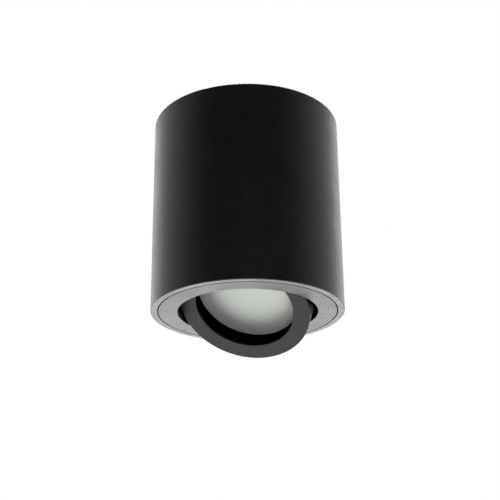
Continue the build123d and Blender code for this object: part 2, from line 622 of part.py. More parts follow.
def lamp_body():
    """Finned heat sink with a clamping rim and a reflector chamber for the light source."""
    neck = LAMP_NECK_DIAMETER / 2
    core = neck - 1.4
    root = neck - 3.0
    shoulder = LAMP_RADIUS - 2.2
    floor, mouth = chamber_section()
    body = turned(
        (*mouth, 0), (LAMP_RADIUS, RIM_FRONT, 0), (LAMP_RADIUS, RIM_BACK, 0.3), (shoulder, RIM_BACK, 0),
        (shoulder - LAMP_FIN_DEPTH, RIM_BACK + 3, 1.0), (core, NECK - 1, 0), (core, NECK, 0),
        (0, NECK, 0), (0, BOARD_SEAT, 0), (*floor, 0),
    )
    blade = upright(
        (root, RIM_BACK - 0.4), (shoulder, RIM_BACK - 0.4), (shoulder - 0.3, RIM_BACK + 4),
        (neck, NECK - 3), (neck, NECK), (root, NECK),
    )
    blade = extrude(blade, LAMP_FIN_THICKNESS / 2, both=True)
    for fin in around(blade, LAMP_FINS, start=180 / LAMP_FINS):
        body += fin
    rim = (LENS_DOME_RADIUS, RIM_FRONT - BEYOND)
    chamber = turned((0, rim[1], 0), (*rim, 0), (*mouth, 0), (*floor, 0), (0, BOARD_SEAT, 0))
    return body - chamber


def led_board():
    """Round board on the floor of the reflector chamber."""
    back = BOARD_SEAT - TOUCH
    return rod(LED_BOARD_DIAMETER, back - LED_BOARD_THICKNESS, back)


def led_chips():
    """Light-emitting chips in a ring on the board."""
    front = BOARD_SEAT - TOUCH - LED_BOARD_THICKNESS
    chip = Box(CHIP_SIZE, CHIP_SIZE, CHIP_HEIGHT)
    chip = Pos(LED_BOARD_DIAMETER * 0.3, 0, front - CHIP_HEIGHT / 2) * chip
    return around(chip, LED_COUNT)


def lamp_base():
    """Moulded base with two flats, behind the heat sink."""
    collar, radius = LAMP_NECK_DIAMETER / 2, LAMP_BASE_DIAMETER / 2
    step = NECK + 2.2
    base = turned(
        (0, NECK + TOUCH, 0), (collar, NECK + TOUCH, 0.3), (collar, NECK + 1.4, 0.5), (radius, step, 0.5),
        (radius, BASE_END, 0.6), (0, BASE_END, 0),
    )
    flat = slab(-radius, radius, LAMP_BASE_FLATS / 2, radius + BEYOND, step + 0.2, BASE_END + BEYOND)
    for cut in both_sides(flat):
        base -= cut
    for x in apart(PIN_SPACING):
        base -= rod(PIN_NECK_DIAMETER + 2 * FIT, BASE_END - PIN_ROOT, BASE_END + BEYOND, x)
    return base


def lamp_pins():
    """Headed contact pins, rooted in the base."""
    neck, head = PIN_NECK_DIAMETER / 2, PIN_HEAD_DIAMETER / 2
    root, under = BASE_END - PIN_ROOT + TOUCH, PIN_TIP - PIN_HEAD_LENGTH
    pin = turned(
        (0, root, 0), (neck, root, 0), (neck, under, 0), (head, under, 0.3), (head, PIN_TIP, 0.6),
        (0, PIN_TIP, 0),
    )
    return [Pos(x, 0, 0) * pin for x in apart(PIN_SPACING)]


# ---------------------------------------------------------------- lampholder

def holder_block(low, high):
    """Stadium-shaped block between two heights."""
    return Pos(0, 0, low) * extrude(SlotOverall(HOLDER_LENGTH, HOLDER_WIDTH), high - low)


def twist_slot(width, low, high):
    """Slot that a pin follows in the twist that locks it, for the +X pin."""
    track = CenterArc((0, 0), PIN_SPACING / 2, -HOLDER_TWIST, HOLDER_TWIST)
    return Pos(0, 0, low) * extrude(SlotArc(track, width), high - low)


def keyhole():
    """Way in for the +X pin: round entry, narrow slot in the floor and cavity for its head."""
    below = HOLDER_FRONT - BEYOND
    entry = Rot(0, 0, -HOLDER_TWIST) * rod(PIN_CAVITY, below, PIN_ROOM, PIN_SPACING / 2)
    slot = twist_slot(PIN_NECK_DIAMETER + 0.6, below, PIN_ROOM)
    return entry + slot + twist_slot(PIN_CAVITY, HOLDER_FRONT + HOLDER_FLOOR, PIN_ROOM)


def lampholder_body():
    """Ceramic lampholder: keyhole slots in its floor open into a cavity for each pin head."""
    body = holder_block(HOLDER_FRONT, HOLDER_SPLIT)
    body = chamfer(body.faces().sort_by(Axis.Z)[0].outer_wire().edges(), 0.6)
    half = HOLDER_POCKET / 2
    pocket = slab(-half, half, -half, half, PIN_ROOM - ROOT, HOLDER_SPLIT + BEYOND)
    for cut in both_sides(keyhole()) + both_sides(Pos(PIN_SPACING / 2, 0, 0) * pocket):
        body -= cut
    low = HOLDER_SPLIT - HOLDER_SCREW_BITE - HOLE_END
    for x in apart(HOLDER_SCREW_SPACING):
        body -= rod(HOLDER_SCREW_DIAMETER + 2 * FIT, low, HOLDER_SPLIT + BEYOND, x)
    return body


def lampholder_cover():
    """Ceramic cover with a collared hole for each lead and sinkings for its screws."""
    low = HOLDER_SPLIT + TOUCH
    cover = holder_block(low, HOLDER_BACK)
    cover = chamfer(cover.faces().sort_by(Axis.Z)[-1].outer_wire().edges(), 0.8)
    for x in apart(PIN_SPACING):
        cover += rod(LEAD_DIAMETER + 2 * HOLDER_COLLAR, HOLDER_BACK - ROOT, HOLDER_BACK + HOLDER_COLLAR, x)
        cover -= rod(LEAD_DIAMETER + 2 * FIT, low - BEYOND, HOLDER_BACK + HOLDER_COLLAR + BEYOND, x)
    seat = HOLDER_BACK - HOLDER_SCREW_HEAD - FIT
    for x in apart(HOLDER_SCREW_SPACING):
        cover -= rod(HOLDER_SCREW_DIAMETER + 0.3, low - BEYOND, HOLDER_BACK + BEYOND, x)
        cover -= rod(2 * HOLDER_SCREW_DIAMETER + 0.4, seat - TOUCH, HOLDER_BACK + BEYOND, x)
    return cover


def lampholder_screws():
    """Cheese-head screws, sunk in the cover."""
    seat = HOLDER_BACK - HOLDER_SCREW_HEAD - FIT
    top = seat + HOLDER_SCREW_HEAD
    screw = rod(HOLDER_SCREW_DIAMETER, HOLDER_SPLIT - HOLDER_SCREW_BITE, seat)
    screw += rod(2 * HOLDER_SCREW_DIAMETER, seat, top)
    screw -= slab(-3, 3, -0.25, 0.25, top - 0.5, top + BEYOND)
    return [Pos(x, 0, 0) * screw for x in apart(HOLDER_SCREW_SPACING)]


def lampholder_contacts():
    """Folded strips that press on the pin heads and take the leads."""
    x = PIN_SPACING / 2
    fold = x + CONTACT_REACH
    top = HOLDER_SPLIT - TOUCH - CONTACT_SHEET / 2
    low = PIN_TIP + TOUCH + CONTACT_SHEET / 2
    path = FilletPolyline(
        (x - CONTACT_REACH, 0, top), (fold, 0, top), (fold, 0, low),
        (x - CONTACT_REACH + CONTACT_SHEET, 0, low), radius=[CONTACT_SHEET, CONTACT_SHEET],
    )
    section = Plane(path @ 0, x_dir=(0, 1, 0), z_dir=path % 0) * Rectangle(CONTACT_WIDTH, CONTACT_SHEET)
    return both_sides(sweep(section, path))


# ---------------------------------------------------------------- pivot hardware

def pivot_screws():
    """Shoulder screws that turn with the head in the ears."""
    shoulder, thread, head = SHOULDER_DIAMETER / 2, PIVOT_THREAD_DIAMETER / 2, PIVOT_HEAD_DIAMETER / 2
    start, seat = SPOT_FACE - PIVOT_THREAD_LENGTH, SPOT_FACE + TOUCH
    screw = turned(
        (0, start, 0), (thread, start, 0.3), (thread, seat, 0), (shoulder, seat, 0),
        (shoulder, HEAD_SEAT, 0), (head, HEAD_SEAT, 0), (head, HEAD_END, 0.5), (0, HEAD_END, 0),
    )
    slot = slab(-4, 4, -PIVOT_SLOT / 2, PIVOT_SLOT / 2, HEAD_END - PIVOT_SLOT, HEAD_END + BEYOND)
    return both_sides(along_x(screw - slot))


def friction_washers():
    """Fibre washers between the ring's spot faces and the ears."""
    bore, rim = SHOULDER_DIAMETER / 2 + FIT, WASHER_DIAMETER / 2
    low, high = SPOT_FACE + TOUCH, EAR_INNER - FIT
    washer = turned((bore, low, 0), (rim, low, 0.2), (rim, high, 0.2), (bore, high, 0))
    return both_sides(along_x(washer))


def cone_washers():
    """Spring washers, coned, that load the screw heads against the ears."""
    inner, outer = SHOULDER_DIAMETER / 2 + FIT, PIVOT_HEAD_DIAMETER / 2
    low = EAR_OUTER + FIT
    high = low + CONE_WASHER_RISE
    washer = turned(
        (inner, high - CONE_WASHER_SHEET, 0), (outer, low, 0), (outer, low + CONE_WASHER_SHEET, 0),
        (inner, high, 0),
    )
    return both_sides(along_x(washer))


# ---------------------------------------------------------------- leads

def in_head(x, y, z):
    """A point of the tilted head's frame, in the can's frame."""
    moved = Vector(x, y, z).rotate(Axis.X, -TILT)
    return (moved.X, moved.Y, moved.Z + PIVOT_Z)


def by_wall(side, turn, inward, depth):
    """Point near the can's wall, at an angle towards +Y from the +X side or the -X side."""
    reach = BORE_RADIUS - LOOP_GAP - inward
    turn = math.radians(turn)
    return (side * reach * math.cos(turn), reach * math.sin(turn), -depth)


def lead(name, *points):
    """Insulated lead on straight runs joined by the largest tangent arcs that fit."""
    route = [Vector(*p) for p in points]
    radii = []
    for before, here, after in zip(route, route[1:], route[2:]):
        turn = math.radians((here - before).get_angle(after - here))
        shorter = min((here - before).length, (after - here).length)
        radii.append(0.45 * shorter / math.tan(turn / 2))
    path = FilletPolyline(*route, radius=radii)
    tube = sweep(Plane(path @ 0, z_dir=path % 0) * Circle(LEAD_DIAMETER / 2), path)
    ideal = math.pi * (LEAD_DIAMETER / 2) ** 2 * path.length
    print(name, "radii", [round(r, 1) for r in radii], "volume ratio", round(tube.volume / ideal, 4))
    return tube


def block_entry(pole):
    """End of a lead in its pole's sleeve."""
    return POLE_X[pole], BLOCK_FRONT_Y + LEAD_IN_SLEEVE, SLEEVE_Z


def head_lead(name, side, pole, loop_end, steps):
    """Lead from a contact, up to the can's wall, round one side of the can and into a pole."""
    start = side * PIN_SPACING / 2
    x, y, z = block_entry(pole)
    step = (loop_end - LOOP_START) / steps
    inward = LOOP_INWARD / steps
    loop = [by_wall(side, LOOP_START + i * step, i * inward, LOOP_DEPTH) for i in range(steps + 1)]
    bend = y - LEAD_STRAIGHT - LEAD_RUN
    return lead(
        name, in_head(start, 0, HOLDER_SPLIT + 2 * TOUCH), in_head(start, 0, HOLDER_BACK + LEAD_EXIT),
        by_wall(side, LOOP_START + 27, 0, LOOP_DEPTH + LOOP_CLIMB),
        by_wall(side, LOOP_START + 18, 0, LOOP_DEPTH + LOOP_CLIMB / 4), *loop,
        (x + side * LEAD_SWING, bend - LEAD_SWING, z - 2 * LEAD_CLIMB), (x, bend, z - LEAD_CLIMB),
        (x, y - LEAD_STRAIGHT, z), (x, y, z),
    )


def earth_lead():
    """Short lead from the lug's barrel, down to the sleeves' height and into the earth pole."""
    x, y, z = block_entry(0)
    start, level = EARTH_Y + LUG_REACH + LUG_BARREL_LENGTH / 2, LUG_AXIS_Z
    bend = start + LEAD_STRAIGHT
    return lead("earth_lead", (x, start, level), (x, bend, level), (x, y - LEAD_STRAIGHT, z), (x, y, z))


# ---------------------------------------------------------------- output

os.makedirs("parts", exist_ok=True)
save("housing", can())
save("cable_grommet", cable_grommet())
save("terminal_block", terminal_block())
save("terminal_sleeves", *terminal_sleeves())
save("terminal_screws", *terminal_screws())
save("terminal_block_screws", *block_screws())
save("earth_screw", earth_screw())
save("earth_ring_terminal", earth_lug())
save("earth_lead", earth_lead())
save("trim_ring", trim_ring())
save("clip_springs", *clip_springs())
save("clip_rivets", *clip_rivets())
save("gimbal_ring", tilted(gimbal_ring()))
save("lamp_clip", tilted(lamp_clip()))
save("lamp_lens", tilted(lamp_lens()))
save("lamp_body", tilted(lamp_body()))
save("led_board", tilted(led_board()))
save("led_chips", *[tilted(c) for c in led_chips()])
save("lamp_base", tilted(lamp_base()))
save("lamp_pins", *[tilted(p) for p in lamp_pins()])
save("lampholder_body", tilted(lampholder_body()))
save("lampholder_cover", tilted(lampholder_cover()))
save("lampholder_contacts", *[tilted(c) for c in lampholder_contacts()])
save("lampholder_screws", *[tilted(s) for s in lampholder_screws()])
save("pivot_screws", *[tilted(s) for s in pivot_screws()])
save("friction_washers", *[tilted(w) for w in friction_washers()])
save("cone_washers", *[tilted(w) for w in cone_washers()])
save("lead_live", head_lead("lead_live", 1, 2, -35.0, 3))
save("lead_neutral", head_lead("lead_neutral", -1, 1, -50.0, 4))
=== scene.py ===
import json
import math

import bpy
from mathutils import Matrix, Vector


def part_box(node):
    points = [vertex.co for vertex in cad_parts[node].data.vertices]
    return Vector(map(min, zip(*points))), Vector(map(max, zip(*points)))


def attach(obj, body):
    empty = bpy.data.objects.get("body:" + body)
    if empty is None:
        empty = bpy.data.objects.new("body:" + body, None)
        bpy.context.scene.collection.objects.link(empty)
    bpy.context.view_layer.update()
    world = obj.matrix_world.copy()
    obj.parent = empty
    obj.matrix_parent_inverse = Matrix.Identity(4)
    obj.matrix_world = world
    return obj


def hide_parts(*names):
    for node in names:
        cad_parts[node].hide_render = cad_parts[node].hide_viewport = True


# Surface mounted ceiling spotlight: finishes for the CAD nodes, a flatter lens, camera and studio.
# Lengths are in metres.

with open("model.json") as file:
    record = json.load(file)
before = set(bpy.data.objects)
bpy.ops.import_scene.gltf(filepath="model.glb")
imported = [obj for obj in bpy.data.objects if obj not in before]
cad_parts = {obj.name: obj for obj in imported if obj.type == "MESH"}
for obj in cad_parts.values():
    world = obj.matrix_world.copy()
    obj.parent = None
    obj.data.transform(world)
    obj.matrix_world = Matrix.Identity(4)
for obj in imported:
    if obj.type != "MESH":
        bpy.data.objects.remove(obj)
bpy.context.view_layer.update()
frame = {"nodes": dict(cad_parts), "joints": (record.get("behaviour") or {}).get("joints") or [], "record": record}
nodes = frame["nodes"]


# ---------------------------------------------------------------- sizes from the frame

def half_width(box):
    """Half of a box's length along X, which is the radius of a round piece."""
    low, high = box
    return (high.x - low.x) / 2


# The can hangs from z = 0 and the Z axis is its own. The camera's place is in multiples of its radius.
can_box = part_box("housing")
CAN_RADIUS = half_width(can_box)
CAN_BOTTOM = can_box[0].z
TRIM_RADIUS = half_width(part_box("trim_ring"))
LENS_RADIUS = half_width(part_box("lamp_lens"))

# The head is stored against one stop, and straight down is halfway to the other.
tilt_joint = [joint for joint in frame["joints"] if joint["name"] == "head_tilt"][0]
PIVOT = Vector(tilt_joint["pos_m"])
TILT = math.radians(sum(tilt_joint["range_deg"]) / 2)


# ---------------------------------------------------------------- camera

HEADING = math.radians(26.39)  # the camera stands this far round from -Y, towards +X
PITCH = math.radians(22.20)  # it looks up by this much
ROLL = math.radians(-0.590)
CAMERA_ASIDE = 0.0302 * CAN_RADIUS  # across the line of sight
CAMERA_AWAY = 10.313 * CAN_RADIUS  # level distance from the can's axis
CAMERA_BELOW = 3.507 * CAN_RADIUS  # below the can's open end
PICTURE_WIDTH = 500  # pixels
FOCAL_LENGTH = 1054.4  # pixels
SENSOR = 36.0  # millimetres


def add_camera():
    data = bpy.data.cameras.new("camera")
    data.sensor_width = SENSOR
    data.lens = FOCAL_LENGTH * SENSOR / PICTURE_WIDTH
    camera = bpy.data.objects.new("camera", data)
    bpy.context.scene.collection.objects.link(camera)
    place = Matrix.Translation((CAMERA_ASIDE, -CAMERA_AWAY, CAN_BOTTOM - CAMERA_BELOW))
    aim = Matrix.Rotation(math.pi / 2 + PITCH, 4, "X") @ Matrix.Rotation(ROLL, 4, "Z")
    camera.matrix_world = Matrix.Rotation(HEADING, 4, "Z") @ place @ aim
    bpy.context.scene.camera = camera


# ---------------------------------------------------------------- node helpers

def grey(value):
    return (value, value, value)


def material(name):
    """A new material, its node tree and its shader."""
    made = bpy.data.materials.new(name)
    made.use_nodes = True
    return made, made.node_tree, made.node_tree.nodes["Principled BSDF"]


def add(tree, kind, **settings):
    """A new node with its settings."""
    node = tree.nodes.new(kind)
    for key, value in settings.items():
        setattr(node, key, value)
    return node


def object_place(tree):
    """Place in object space, where every piece stays as it is at rest when a joint moves."""
    return add(tree, "ShaderNodeTexCoord").outputs["Object"]


def noise(tree, scale, detail=4.0, roughness=0.55):
    """Noise from 0 to 1 in object space, at a scale in features per metre."""
    node = add(tree, "ShaderNodeTexNoise")
    node.inputs["Scale"].default_value = scale
    node.inputs["Detail"].default_value = detail
    node.inputs["Roughness"].default_value = roughness
    tree.links.new(object_place(tree), node.inputs["Vector"])
    return node.outputs["Fac"]


def spread(tree, value, first, last, start=0.3, end=0.7):
    """Goes from first to last as the value goes from start to end."""
    node = add(tree, "ShaderNodeMapRange")
    node.inputs["From Min"].default_value = start
    node.inputs["From Max"].default_value = end
    node.inputs["To Min"].default_value = first
    node.inputs["To Max"].default_value = last
    tree.links.new(value, node.inputs["Value"])
    return node.outputs["Result"]


def shades(tree, value, first, last):
    """Colour ramp between two (position, colour) stops."""
    ramp = add(tree, "ShaderNodeValToRGB")
    for element, (position, colour) in zip(ramp.color_ramp.elements, (first, last)):
        element.position = position
        element.color = (*colour, 1)
    tree.links.new(value, ramp.inputs["Fac"])
    return ramp.outputs["Color"]


def blend(tree, factor, first, second):
    """Mix of a linked colour or value and a fixed colour."""
    mix = add(tree, "ShaderNodeMix", data_type="RGBA")
    mix.inputs["B"].default_value = (*second, 1)
    tree.links.new(factor, mix.inputs["Factor"])
    tree.links.new(first, mix.inputs["A"])
    return mix.outputs["Result"]


def combine(tree, operation, first, second):
    """Result of a math operation on two linked values."""
    node = add(tree, "ShaderNodeMath", operation=operation)
    tree.links.new(first, node.inputs[0])
    tree.links.new(second, node.inputs[1])
    return node.outputs["Value"]


def off_axis(tree, place):
    """Distance of a place from the Z axis."""
    flat = add(tree, "ShaderNodeVectorMath", operation="MULTIPLY")
    flat.inputs[1].default_value = (1, 1, 0)
    tree.links.new(place, flat.inputs[0])
    distance = add(tree, "ShaderNodeVectorMath", operation="LENGTH")
    tree.links.new(flat.outputs["Vector"], distance.inputs[0])
    return distance.outputs["Value"]


def bump(tree, shader, height, depth):
    node = add(tree, "ShaderNodeBump")
    node.inputs["Distance"].default_value = depth
    tree.links.new(height, node.inputs["Height"])
    tree.links.new(node.outputs["Normal"], shader.inputs["Normal"])


def mix_shaders(tree, factor, first, second):
    mix = add(tree, "ShaderNodeMixShader")
    tree.links.new(factor, mix.inputs["Fac"])
    tree.links.new(first, mix.inputs[1])
    tree.links.new(second, mix.inputs[2])
    return mix.outputs["Shader"]


# ---------------------------------------------------------------- masks: painted shade and rubbed edges

RING_FACE = -0.0074  # the ring's front face, from the tilt axis along the lamp's own axis
MOUTH_START = RING_FACE + 0.0002  # painted shade in the ring's mouth starts from here
MOUTH_DARK = RING_FACE + 0.0008  # and the mouth is wholly painted shade from here
POCKET_RADIUS = LENS_RADIUS + 0.0003  # of the ring's pocket for the lamp
POCKET_FADE = 0.0003
SEAM = 0.0003  # gap between the trim and the can
SEAM_FADE = 0.0002
# Ambient occlusion bounds of the painted gap shade: full shade at the first, none at the second.
OPENNESS_IN_GAPS = 0.42  # share of the directions that are free of other surfaces
OPENNESS_OUTSIDE = 0.92
NORMALS_APART = 0.80  # dot product of the bevelled and true normals
NORMALS_TOGETHER = 0.99


def lamp_axes(tree):
    """Distance from the lamp's own axis, and height along it from the tilt axis."""
    offset = add(tree, "ShaderNodeVectorMath", operation="SUBTRACT")
    offset.inputs[1].default_value = PIVOT
    tree.links.new(object_place(tree), offset.inputs[0])
    level = add(tree, "ShaderNodeVectorRotate", rotation_type="X_AXIS")
    level.inputs["Angle"].default_value = TILT
    tree.links.new(offset.outputs["Vector"], level.inputs["Vector"])
    parts = add(tree, "ShaderNodeSeparateXYZ")
    tree.links.new(level.outputs["Vector"], parts.inputs["Vector"])
    return off_axis(tree, level.outputs["Vector"]), parts.outputs["Z"]


def inside_ring(tree):
    """1 on the walls of the tilting ring's mouth and lamp pocket, 0 on its face and outside; the ring's coat
    paints these walls dead black as painted shade.
    """
    distance, height = lamp_axes(tree)
    within = spread(tree, distance, 1.0, 0.0, POCKET_RADIUS, POCKET_RADIUS + POCKET_FADE)
    behind = spread(tree, height, 0.0, 1.0, MOUTH_START, MOUTH_DARK)
    return combine(tree, "MULTIPLY", within, behind)


def at_seam(tree):
    """1 in the gap between the trim and the can, fading out over the small rounded edges at its sides; the coats
    paint this dead black as a painted shadow gap.
    """
    distance = off_axis(tree, object_place(tree))
    can_side = TRIM_RADIUS + SEAM
    inner = spread(tree, distance, 0.0, 1.0, TRIM_RADIUS - SEAM_FADE, TRIM_RADIUS)
    outer = spread(tree, distance, 1.0, 0.0, can_side, can_side + SEAM_FADE)
    return combine(tree, "MULTIPLY", inner, outer)


def painted_gap_shade(tree, reach):
    """Painted shade from ambient occlusion: 0 in the open, rising to 1 down in gaps and grooves whose sides are
    within reach.
    """
    occlusion = add(tree, "ShaderNodeAmbientOcclusion", samples=8)
    occlusion.inputs["Distance"].default_value = reach
    return spread(tree, occlusion.outputs["AO"], 1.0, 0.0, OPENNESS_IN_GAPS, OPENNESS_OUTSIDE)


def worn_edge(tree, width):
    """1 on edges and 0 elsewhere, from the difference between the bevelled and true normals."""
    bevel = add(tree, "ShaderNodeBevel", samples=4)
    bevel.inputs["Radius"].default_value = width
    surface = add(tree, "ShaderNodeNewGeometry")
    turn = add(tree, "ShaderNodeVectorMath", operation="DOT_PRODUCT")
    tree.links.new(bevel.outputs["Normal"], turn.inputs[0])
    tree.links.new(surface.outputs["Normal"], turn.inputs[1])
    return spread(tree, turn.outputs["Value"], 1.0, 0.0, NORMALS_APART, NORMALS_TOGETHER)


# ---------------------------------------------------------------- materials

# Scales are in features per metre, and depths in metres of bump.
PEEL_SCALE = 1100.0
PEEL_DEPTH = 0.00010
CLOUD_SCALE = 90.0
CLOUD_GLOSS = 0.03  # the coat's roughness goes up and down by this much
RUBBED_WIDTH = 0.00035
RUBBED_GAIN = 1.6  # how much lighter the rubbed edges are
# Colour of the painted shade in the coats' gaps, the seam and the ring's bore.
PAINTED_SHADE_BLACK = grey(0.001)
COAT_IOR = 1.5
COAT_SPECULAR = 0.5
HAZE_ROUGHNESS = 0.45
METAL_SCALE = 900.0
MOULDED_SCALE = 1500.0
MOTTLE_SCALE = 120.0
STRIPE_SCALE = 180.0
FROST_SCALE = 3200.0
FINE_DEPTH = 0.00001
COARSE_DEPTH = 0.00002


def powder_coat(name, dark, light, rough, haze, reach, painted_dark_mask):
    """Matte black powder coat with orange-peel grain, rubbed edges and a haze at a low angle.

    It has painted shade in gaps whose sides are within reach, and where its given mask is 1: there it is painted
    dead black, fully rough and without gloss or haze, in place of the shade that falls there.
    """
    made, tree, shader = material(name)
    cloud = noise(tree, CLOUD_SCALE, detail=2.0)
    peel = noise(tree, PEEL_SCALE, detail=2.0, roughness=0.7)
    # Painted shade: where ambient occlusion or the given mask says so, the coat is painted dead black and loses
    # its gloss.
    painted_shade = combine(tree, "MAXIMUM", painted_dark_mask(tree), painted_gap_shade(tree, reach))
    colour = shades(tree, peel, (0.35, grey(dark)), (0.65, grey(light)))
    colour = blend(tree, worn_edge(tree, RUBBED_WIDTH), colour, grey(light * RUBBED_GAIN))
    gloss = spread(tree, cloud, rough - CLOUD_GLOSS, rough + CLOUD_GLOSS)
    looks = {
        "Base Color": blend(tree, painted_shade, colour, PAINTED_SHADE_BLACK),
        "Roughness": blend(tree, painted_shade, gloss, grey(1.0)),
        "Specular IOR Level": spread(tree, painted_shade, COAT_SPECULAR, 0.0, 0.0, 1.0),
        "Sheen Weight": spread(tree, painted_shade, haze, 0.0, 0.0, 1.0),
    }
    for socket, value in looks.items():
        tree.links.new(value, shader.inputs[socket])
    shader.inputs["IOR"].default_value = COAT_IOR
    shader.inputs["Sheen Roughness"].default_value = HAZE_ROUGHNESS
    bump(tree, shader, peel, PEEL_DEPTH)
    return made


def add_grain(tree, shader, fine, smooth, rough, depth=FINE_DEPTH):
    """A fine noise as a shader's roughness, between smooth and rough, and as its bump."""
    tree.links.new(spread(tree, fine, smooth, rough), shader.inputs["Roughness"])
    bump(tree, shader, fine, depth)


def metal(name, colour, rough):
    """Plated or rolled metal with fine wear."""
    made, tree, shader = material(name)
    shader.inputs["Metallic"].default_value = 1.0
    fine = noise(tree, METAL_SCALE)
    darker = tuple(channel * 0.82 for channel in colour)
    tree.links.new(shades(tree, fine, (0.3, darker), (0.7, colour)), shader.inputs["Base Color"])
    add_grain(tree, shader, fine, rough * 0.8, rough * 1.25)
    return made


def moulded(name, colour, rough, depth=FINE_DEPTH):
    """Plastic, rubber, ceramic, board or fibre with a fine surface grain."""
    made, tree, shader = material(name)
    mottle = noise(tree, MOTTLE_SCALE, detail=2.0)
    darker = tuple(channel * 0.9 for channel in colour)
    tree.links.new(shades(tree, mottle, (0.3, darker), (0.7, colour)), shader.inputs["Base Color"])
    add_grain(tree, shader, noise(tree, MOULDED_SCALE), rough - 0.06, rough + 0.06, depth)
    return made


def striped(name, first, second, rough):
    """Insulation in stripes of two colours."""
    made, tree, shader = material(name)
    wave = add(tree, "ShaderNodeTexWave", bands_direction="Z")
    wave.inputs["Scale"].default_value = STRIPE_SCALE
    tree.links.new(object_place(tree), wave.inputs["Vector"])
    stripes = shades(tree, wave.outputs["Fac"], (0.45, first), (0.55, second))
    tree.links.new(stripes, shader.inputs["Base Color"])
    add_grain(tree, shader, noise(tree, MOULDED_SCALE), rough - 0.05, rough + 0.05)
    return made


def frosted(name):
    """Frosted lens: etched, faintly green, with a soft sheen that mirrors the black bore about it."""
    made, tree, shader = material(name)
    shader.inputs["Metallic"].default_value = 0.75
    fine = noise(tree, FROST_SCALE, detail=3.0)
    colour = shades(tree, fine, (0.3, (0.73, 0.76, 0.72)), (0.7, (0.78, 0.81, 0.77)))
    tree.links.new(colour, shader.inputs["Base Color"])
    add_grain(tree, shader, fine, 0.50, 0.58)
    return made


# Each table is by material slot.
# reach is how near a gap's sides must be for the coat to paint shade in it; the mask paints shade where it is 1,
# on the seam for the can and trim, on the mouth and pocket walls for the ring.
COATS = {
    "housing_coat": dict(dark=0.004, light=0.010, rough=0.37, haze=0.20, reach=0.003, painted_dark_mask=at_seam),
    "trim_coat": dict(dark=0.003, light=0.009, rough=0.40, haze=0.06, reach=0.003, painted_dark_mask=at_seam),
    "ring_coat": dict(dark=0.042, light=0.074, rough=0.46, haze=0.05, reach=0.009, painted_dark_mask=inside_ring),
}
METALS = {
    "brass": dict(colour=(0.72, 0.55, 0.25), rough=0.30),
    "zinc_steel": dict(colour=(0.68, 0.69, 0.70), rough=0.28),
    "tinned_copper": dict(colour=(0.74, 0.73, 0.70), rough=0.35),
    "spring_steel": dict(colour=grey(0.60), rough=0.25),
    "rivet_aluminium": dict(colour=grey(0.70), rough=0.35),
    "lamp_shell": dict(colour=grey(0.62), rough=0.45),
    "nickel_pins": dict(colour=(0.75, 0.74, 0.70), rough=0.22),
    "black_steel": dict(colour=grey(0.05), rough=0.40),
}
MOULDINGS = {
    "grommet_rubber": dict(colour=grey(0.02), rough=0.60),
    "terminal_moulding": dict(colour=(0.78, 0.78, 0.75), rough=0.40),
    "live_insulation": dict(colour=(0.16, 0.06, 0.025), rough=0.45),
    "neutral_insulation": dict(colour=(0.03, 0.10, 0.36), rough=0.45),
    "board_white": dict(colour=grey(0.84), rough=0.35),
    "chip_yellow": dict(colour=(0.82, 0.66, 0.12), rough=0.25),
    "lamp_cap": dict(colour=(0.76, 0.76, 0.73), rough=0.50),
    "holder_ceramic": dict(colour=(0.82, 0.80, 0.75), rough=0.55, depth=COARSE_DEPTH),
    "fibre": dict(colour=(0.28, 0.09, 0.04), rough=0.70, depth=COARSE_DEPTH),
}
EARTH_GREEN = (0.10, 0.38, 0.05)
EARTH_YELLOW = (0.75, 0.65, 0.04)


def finishes():
    """The material of each slot."""
    made = {}
    for recipe, table in ((powder_coat, COATS), (metal, METALS), (moulded, MOULDINGS)):
        for slot, values in table.items():
            made[slot] = recipe(slot, **values)
    made["earth_insulation"] = striped("earth_insulation", EARTH_GREEN, EARTH_YELLOW, rough=0.45)
    made["frosted_lens"] = frosted("frosted_lens")
    return made


def dress():
    """Give every CAD node the finish of its slot."""
    by_slot = finishes()
    for part in frame["record"]["subparts"]:
        materials = nodes[part["node"]].data.materials
        materials.clear()
        materials.append(by_slot[part["material_slot"]])


# ---------------------------------------------------------------- the lens

DOME_RADIUS = 0.0210  # as on the CAD lens
DOME_RISE = 0.0018
DOME_STEPS = 24
FLANGE_THICKNESS = 0.0012  # as on the CAD lens
FLANGE_START = DOME_RADIUS + 0.0001
CORNER = 0.0005  # radius of the front edge
CORNER_STEPS = 6
TURNS = 128


def lens_profile(edge, seat):
    """(distance, depth) from the back's innermost ring, round the edge, to the front's innermost ring."""
    shares = [step / DOME_STEPS for step in range(1, DOME_STEPS + 1)]
    dome = [(DOME_RADIUS * share, DOME_RISE * (1 - share ** 2)) for share in shares]
    back = [(distance, seat + FLANGE_THICKNESS - rise) for distance, rise in dome]
    front = [(distance, seat - rise) for distance, rise in reversed(dome)]
    angles = [math.pi / 2 * step / CORNER_STEPS for step in range(CORNER_STEPS + 1)]
    corner = [(edge - CORNER * (1 - math.cos(a)), seat + CORNER * (1 - math.sin(a))) for a in angles]
    return back + [(edge, seat + FLANGE_THICKNESS)] + corner + front


def turned(profile, first_depth, last_depth):
    """Corners and faces of a profile turned about Z, closed by a middle point at each end."""
    corners = [Vector((0, 0, first_depth)), Vector((0, 0, last_depth))]
    first_ring = len(corners)
    last_ring = first_ring + TURNS * (len(profile) - 1)
    for distance, depth in profile:
        for turn in range(TURNS):
            angle = math.tau * turn / TURNS
            corners.append(Vector((distance * math.cos(angle), distance * math.sin(angle), depth)))
    faces = []
    for turn in range(TURNS):
        following = (turn + 1) % TURNS
        faces.append((0, first_ring + turn, first_ring + following))
        faces.append((1, last_ring + following, last_ring + turn))
        for near in range(first_ring, last_ring, TURNS):
            far = near + TURNS
            faces.append((near + turn, far + turn, far + following, near + following))
    return corners, faces


